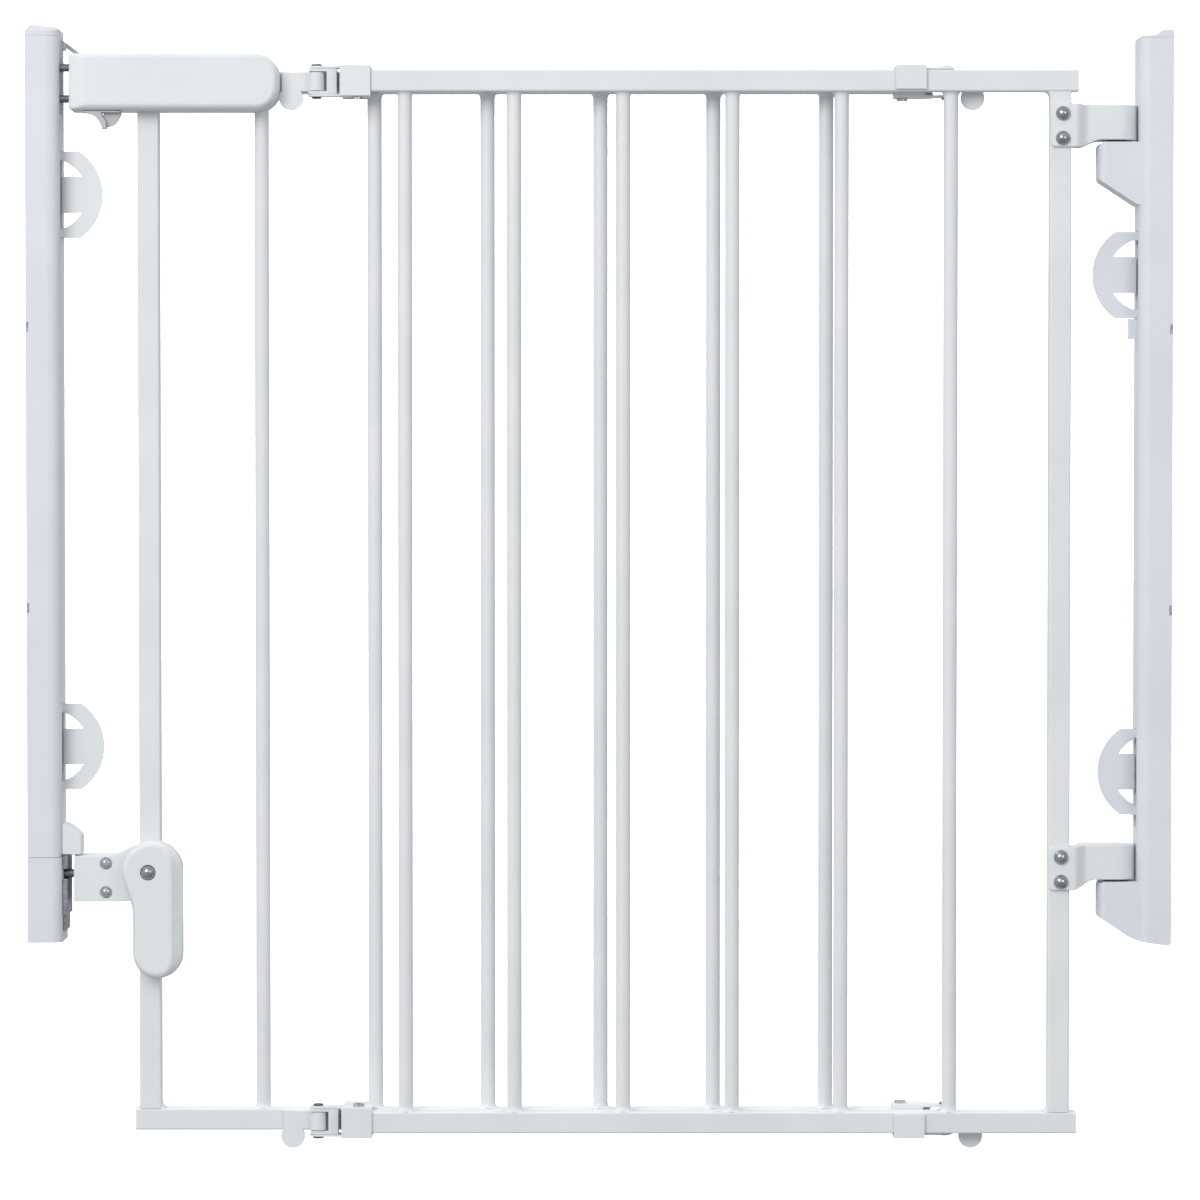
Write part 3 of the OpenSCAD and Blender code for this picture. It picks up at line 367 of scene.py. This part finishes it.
edge_width = {
    "hinge_rail": 0.5, "latch_rail": 0.5, "hinge_rail_cap": 0.6, "latch_rail_cap": 0.6,
    "latch_rail_foot": 0.6, "hinge_lug_upper": 1.2, "hinge_lug_lower": 1.2,
    "hinge_clip_upper": 0.45, "hinge_clip_lower": 0.45, "latch_clip_upper": 0.45, "latch_clip_lower": 0.45,
    "front_top_rail": 0, "front_bottom_rail": 0, "rear_top_rail": 0, "rear_bottom_rail": 0,
    "front_post": 0, "rear_post": 0, "front_end_caps": 0.5, "rear_end_caps": 0.5,
    "sleeve_upper": 0.7, "sleeve_lower": 0.7, "clip_upper": 0.7, "clip_lower": 0.7, "front_yokes": 0.5,
    "lock_lever_upper_left": 0.5, "lock_lever_lower_left": 0.5,
    "lock_lever_upper_right": 0.5, "lock_lever_lower_right": 0.5,
    "front_pivots": 0.4, "rear_pivots": 0.4, "latch_trigger": 0.5, "upper_strike": 0.3,
    "lower_strike": 0.4, "strike_hood": 0.9, "lower_arm_rear": 0.7,
    "lower_arm_screws": 0.15, "sleeve_screws": 0.2, "clip_screws": 0.2, "housing_screws": 0.2,
    "hinge_washers": 0.2, "latch_pins": 0.5, "lower_pin": 0.4}
for name, width in edge_width.items():
    refine(name, width)


# ---------- upper latch housing: a long case with a round right end and a raked left end ----------

case_low, case_high = box_mm("housing_front")
seam = case_high[1]
case_end_r = 16.8
rim_depth = 7.0
rake_depth = 2.6
rake = 9.2
rear_rim = 2.4


def case_ring(y, left=0.0, right=0.0, under=0.0, over=0.0, corner=2.0):
    """Outline of the housing set in by its own amount on each side, at depth y."""
    end = case_end_r - max(right, under, over)
    x0 = case_low[0] + left
    x1 = case_high[0] - right
    z0 = case_low[2] + under
    z1 = case_high[2] - over
    return lift(rounded([(x0, z0, corner), (x1, z0, end), (x1, z1, end), (x0, z1, corner)]), y)


def housing_face():
    rings = [case_ring(seam - 0.05, 0.5, 0.5, 0.5, 0.5), case_ring(seam - 0.5)]
    for depth in fall(rim_depth, rake_depth, 6, 1.0) + fall(rake_depth, 0.0, 9, 2.0)[1:]:
        left = bow(1.6, max(depth, rake_depth) - rake_depth, rim_depth - rake_depth)
        if depth < rake_depth:
            left += rake * (1 - depth / rake_depth) ** 1.15
        side = bow(4.6, depth, rim_depth)
        over = bow(3.2, depth, 4.0)
        rings.append(case_ring(case_low[1] + depth, left, side, side, over, 2.0 + 0.15 * left))
    keep(skin([rings]), "latch_housing_face", "housing_front", ("housing_front",), sharp=50)


def housing_back():
    back = box_mm("housing_rear")[1][1]
    rings = [case_ring(seam + 0.05, 0.5, 0.5, 0.5, 0.5), case_ring(seam + 0.5)]
    for t in quarter(6):
        grow = rear_rim * (1 - math.cos(t))
        rings.append(case_ring(back - rear_rim * (1 - math.sin(t)), grow, grow, grow, grow, 2.0 + 0.6 * grow))
    keep(skin([rings]), "latch_housing_back", "housing_rear", ("housing_rear",), sharp=50)


housing_face()
housing_back()


# ---------- lower latch lever: a round head, a hip on the left and a round grip ----------

lever_low, lever_high = box_mm("latch_lever")
head_r = 22
head_x = lever_low[0] + head_r
head_z = lever_high[2] - head_r
grip_r = 18
grip_x = lever_high[0] - grip_r
grip_z = lever_low[2] + grip_r
lever_thick = 13.7
crown_depth = 7.6
brow_depth = 0.6


def lever_outline():
    out = arc(head_x, head_z, head_r, 0, 170, 14)
    out[0] = Vector((lever_high[0] - 0.2, head_z - 1.5))
    for k in range(9):
        drop = -1.0 + 43.0 * k / 8
        out.append(Vector((smooth(drop, -1.5, 31.5, lever_low[0], lever_low[0] + 8.0), head_z - drop)))
    out += arc(grip_x, grip_z, grip_r, 180, 360, 16)
    out.append(Vector((lever_high[0], (grip_z + head_z) / 2)))
    out.append(Vector((lever_high[0], head_z - 12)))
    return out


def lever_grip():
    outline = lever_outline()
    front = lever_low[1]
    back = front + lever_thick
    rings = [lift(inset(outline, 0.6), back), lift(outline, back - 0.6)]
    for depth in fall(crown_depth, brow_depth, 8, 1.5) + fall(brow_depth, 0.0, 3, 2.0)[1:]:
        slope = 8.0 * (1 - depth / crown_depth) ** 0.92
        if depth < brow_depth:
            slope += 1.4 * (1 - depth / brow_depth)
        shrink = soft(bow(4.2, depth, crown_depth), slope, bow(5.0, depth, 6.0), bow(4.2, depth, 5.0))
        rings.append(lift(inset(outline, shrink), front + depth))
    bolt_low, bolt_high = box_mm("lever_bolt")
    bolt_x = (bolt_low[0] + bolt_high[0]) / 2
    bolt_z = (bolt_low[2] + bolt_high[2]) / 2
    bore = [lift(circle(bolt_x, bolt_z, r), y) for r, y in (
        (4.1, back), (4.1, front + 2.5), (5.5, front + 2.5), (5.5, front + 0.3), (5.8, front))]
    keep(skin([rings, bore]), "latch_lever_grip", "latch_lever", ("latch_lever",), sharp=50)


lever_grip()


# ---------- hinge arms: a tab on the post, cranked forward of it, and a barrel on the hinge pin ----------

tab_corner = 3.0
tab_tall = 31
strap_tall = 25
rim = 0.9


def hinge_strap(node, name, strap_top, dip):
    """The underside sweeps over 17 mm, and dip says how far left of the hinge axis it starts."""
    low, high = box_mm(node)
    post_low, post_high = box_mm("front_post")
    pin_low, pin_high = box_mm("hinge_pins")
    axis = (pin_low[0] + pin_high[0]) / 2
    barrel_r = high[0] - axis
    tab_end = post_high[0]
    crank = tab_end + 0.45
    stations = [low[0] + tab_corner * (1 - math.cos(t)) for t in quarter(6)]
    stations += [low[0] + 4.5, low[0] + 8.5, low[0] + 12.5, tab_end - 0.15]
    stations += [crank + (axis - 12.5 - crank) * k / 20 for k in range(21)]
    stations += [axis - 8.5, axis - 4.5, axis]
    stations += [axis + (barrel_r - 0.02) * math.sin(t) for t in quarter(12)[1:]]
    rings = []
    for x in stations:
        short = max(0.0, low[0] + tab_corner - x)
        corner = tab_corner - math.sqrt(max(0.0, tab_corner ** 2 - short ** 2))
        bottom = smooth(x, axis - dip, axis - dip + 17, low[2], strap_top - strap_tall) + corner
        top = smooth(x, axis - 30, axis - 23.5, low[2] + tab_tall, strap_top) - corner
        if x > axis:
            back = math.sqrt(max(0.0004, barrel_r ** 2 - (x - axis) ** 2))
            front = -back
        else:
            front = smooth(x, axis - 31.1, axis - 21.1, low[1], -barrel_r)
            back = post_low[1] if x < tab_end else smooth(x, crank, axis - 20.5, -6, barrel_r)
        r = min(rim, (back - front) / 2.2, (top - bottom) / 2.2)
        ring = []
        for y, z, start in ((back - r, top - r, 0), (front + r, top - r, 90), (front + r, bottom + r, 180),
                            (back - r, bottom + r, 270)):
            ring += [Vector((x, p.x, p.y)) * mm for p in arc(y, z, r, start, start + 90, 4)]
        rings.append(ring)
    keep(skin([rings]), name, node, (node,), sharp=48)


washer_low, washer_high = box_mm("hinge_washers")
hinge_strap("hinge_arm_upper", "upper_hinge_strap", washer_high[2] + 25.2, 29.0)
hinge_strap("hinge_arm_lower", "lower_hinge_strap", washer_low[2] + 26.5, 31.5)


# ---------- lower latch arm, front half, with seats for its two screws ----------

def arm_plate():
    low, high = box_mm("lower_arm_front")
    arm_top = head_z + 10.5
    outline = [Vector((low[0], low[2])), Vector((high[0] - 5, low[2])), Vector((high[0] - 5, head_z - 13.5))]
    outline += arc(head_x, head_z, head_r - 1, -40, 117, 12)
    lip = outline[-1]
    for k in range(1, 9):
        away = 4.0 * k
        outline.append(Vector((lip.x - away, arm_top + (lip.y - arm_top) * math.exp(-(away / 13.5) ** 2))))
    outline.append(Vector((low[0], arm_top)))
    back = high[1] - 0.05
    stacks = [round_over(outline, back, low[1], 0.2, 0.8)]
    screw_low, screw_high = box_mm("lower_arm_screws")
    screw_x = (screw_low[0] + screw_high[0]) / 2
    screw_r = (screw_high[0] - screw_low[0]) / 2
    seat = low[1] + 0.9
    for z in (screw_low[2] + screw_r, screw_high[2] - screw_r):
        stacks.append([lift(circle(screw_x, z, r, 32), y) for r, y in (
            (3.0, back), (3.0, seat), (4.5, seat), (4.5, low[1]))])
    keep(skin(stacks), "latch_arm_plate", "lower_arm_front", ("lower_arm_front",), sharp=40)


arm_plate()


# ---------- painted shadow: a dark strip standing in for the shade where the foot meets the latch rail ---

def foot_seam():
    low, high = box_mm("latch_rail_foot")
    seam_z = high[2] + 0.1
    bend_x = high[0] - 9.4
    bend_y = low[1] + 8.4
    outer = [Vector((low[0] + 1.2, low[1] + 0.7))]
    for t in reversed(quarter(10)[1:]):
        outer.append(Vector((bend_x + 8.9 * math.cos(t), bend_y - 7.9 * math.sin(t))))
    inner = [Vector((p.x - 0.4, p.y + 0.9)) for p in reversed(outer)]
    shape = bmesh.new()
    heights = (seam_z - 0.3, seam_z + 0.25)
    add_solid(shape, [[Vector((p.x, p.y, z)) * mm for p in outer + inner] for z in heights])
    # the strip takes the dark grey that paints the shadow in the joint
    keep(shape, "foot_seam", "latch_rail_foot", (), sharp=40, material=painted_shadow_grey)


foot_seam()


# ---------- round bars, and the welds where bars and posts meet the rails ----------

bars_per_frame = 6
# The bars are drawn this much thicker all round than in the CAD, which has them too thin
bar_extra_r = 0.3
weld_flare = 2.1
weld_tall = 4.6


def weld(shape, x, y, z, way, r, seed):
    """Uneven ring of weld round a bar's end, widest at the rail."""
    rings = []
    for k in range(6):
        t = k / 5
        grow = weld_flare * (1 - math.sqrt(1 - (1 - t) ** 2))
        ring = []
        for i in range(28):
            a = 2 * math.pi * i / 28
            lumps = 0.0625 * math.sin(5 * a + seed) + 0.045 * math.sin(9 * a + 2.3 * seed)
            q = r - 0.05 + grow * (1 + lumps * (1 - t))
            ring.append(Vector((x + q * math.cos(a), y + q * math.sin(a), z + way * weld_tall * t)) * mm)
        rings.append(ring)
    add_solid(shape, rings)


def round_bars(node, name):
    """The round bars of one frame, and the weld round each end."""
    low, high = box_mm(node)
    steel_r = (high[1] - low[1]) / 2
    r = steel_r + bar_extra_r
    y = (low[1] + high[1]) / 2
    pitch = (high[0] - low[0] - 2 * steel_r) / (bars_per_frame - 1)
    bars = bmesh.new()
    welds = bmesh.new()
    for i in range(bars_per_frame):
        x = low[0] + steel_r + i * pitch
        section = circle(x, y, r)
        add_solid(bars, [[Vector((p.x, p.y, z)) * mm for p in section] for z in (low[2], high[2])])
        weld(welds, x, y, high[2], -1, r, i * 1.7)
        weld(welds, x, y, low[2], 1, r, i * 2.9 + 1)
    keep(bars, node + "_finished", node, (node,), sharp=40)
    keep(welds, name, node, (), sharp=60)


def bead(shape, x, z, wide, tall, y0, y1, seed):
    """Concave weld bead along Y in the corner at (x, z); wide and tall carry the signs of its legs."""
    rings = []
    for step in range(11):
        y = y0 + (y1 - y0) * step / 10
        swell = 1 + 0.12 * math.sin(2.1 * step + seed) - (0.35 if step in (0, 10) else 0.0)
        ring = [Vector((x, y, z)) * mm]
        for t in quarter(5):
            out = wide * swell * (1 - 0.92 * math.sin(t))
            up = tall * swell * (1 - 0.92 * math.cos(t))
            ring.append(Vector((x + out, y, z + up)) * mm)
        rings.append(ring)
    add_solid(shape, rings)


def post_welds(post, name, side):
    """Beads on one side of a post, at its top and its foot."""
    low, high = box_mm(post)
    x = low[0] if side < 0 else high[0]
    shape = bmesh.new()
    for z, way in ((high[2], -1), (low[2], 1)):
        bead(shape, x - 0.2 * side, z - 0.2 * way, 3.4 * side, 5.0 * way, low[1] + 1.0, high[1] - 1.0, z)
    keep(shape, name, post, (), sharp=50)


round_bars("front_bars", "front_bar_welds")
round_bars("rear_bars", "rear_bar_welds")
post_welds("front_post", "front_post_welds", -1)
post_welds("rear_post", "rear_post_welds", 1)


# ---------- studio: lengths in metres ----------

floor_z = cad_bounds[0][2] - 0.065
floor_front = -6.0
sweep_start = 4.2
sweep_r = 1.2
wall_top = 5.0
floor_half = 7.0


def studio_floor():
    """Pale paper that runs back and sweeps up into a wall."""
    profile = [(floor_front, floor_z)]
    for t in quarter(12):
        profile.append((sweep_start + sweep_r * math.sin(t), floor_z + sweep_r * (1 - math.cos(t))))
    profile.append((sweep_start + sweep_r, wall_top))
    shape = bmesh.new()
    before = None
    for y, z in profile:
        pair = [shape.verts.new((x, y, z)) for x in (-floor_half, floor_half)]
        if before:
            shape.faces.new((before[0], before[1], pair[1], pair[0]))
        before = pair
    mesh = bpy.data.meshes.new("studio_floor")
    shape.to_mesh(mesh)
    shape.free()
    for polygon in mesh.polygons:
        polygon.use_smooth = True
    mesh.materials.append(surface("studio_paper", (0.9, 0.9, 0.9), (0.92, 0.92, 0.92), 0.9, specular=0.1,
                                  coarse=(40.0, 0.0001), fine=(300.0, 0.00005)))
    floor = bpy.data.objects.new("studio_floor", mesh)
    bpy.context.collection.objects.link(floor)
    floor.visible_glossy = False
    floor.visible_diffuse = False


def studio_air():
    """Soft light from all round, stronger from above and from the left."""
    world = bpy.data.worlds.new("studio")
    bpy.context.scene.world = world
    world.use_nodes = True
    tree = world.node_tree
    air = tree.nodes["Background"]
    air.inputs["Color"].default_value = (1.0, 1.0, 1.0, 1.0)
    way = tree.nodes.new("ShaderNodeTexCoord")
    split = tree.nodes.new("ShaderNodeSeparateXYZ")
    tree.links.new(way.outputs["Generated"], split.inputs["Vector"])
    both = tree.nodes.new("ShaderNodeMath")
    both.operation = "MULTIPLY"
    tree.links.new(remap(tree, split.outputs["Z"], -0.8, 0.8, 0.38, 0.78), both.inputs[0])
    tree.links.new(remap(tree, split.outputs["X"], -1.0, 1.0, 1.2, 0.8), both.inputs[1])
    tree.links.new(both.outputs["Value"], air.inputs["Strength"])


def softbox(name, place, aim, size, power):
    lamp = bpy.data.lights.new(name, "AREA")
    lamp.shape = "RECTANGLE"
    lamp.size, lamp.size_y = size
    lamp.energy = power
    made = bpy.data.objects.new(name, lamp)
    made.visible_camera = False
    made.location = place
    made.rotation_euler = (Vector(aim) - Vector(place)).to_track_quat("-Z", "Y").to_euler()
    bpy.context.collection.objects.link(made)


middle_x = -0.410
centre = (middle_x, 0.0, -0.08)
studio_floor()
studio_air()
softbox("key", (-1.9, -2.9, 1.5), centre, (1.6, 1.6), 55.0)
softbox("fill", (1.4, -3.0, 0.9), centre, (1.4, 1.4), 15.0)
softbox("floor_light", (middle_x, 0.8, 1.7), (middle_x, 2.9, 0.2), (5.0, 1.0), 135.0)
softbox("wall_light", (middle_x, 3.2, 1.9), (middle_x, 5.3, 0.0), (6.0, 1.0), 190.0)

eye = bpy.data.cameras.new("camera")
eye.lens = 142.6
eye.sensor_width = 36.0
eye.clip_end = 60.0
camera = bpy.data.objects.new("camera", eye)
camera.location = (middle_x, -3.419, 0.02)
sight = Vector((middle_x, -0.019, -0.082)) - camera.location
camera.rotation_euler = sight.to_track_quat("-Z", "Y").to_euler()
bpy.context.collection.objects.link(camera)
bpy.context.scene.camera = camera
bpy.context.scene.view_settings.view_transform = "Standard"
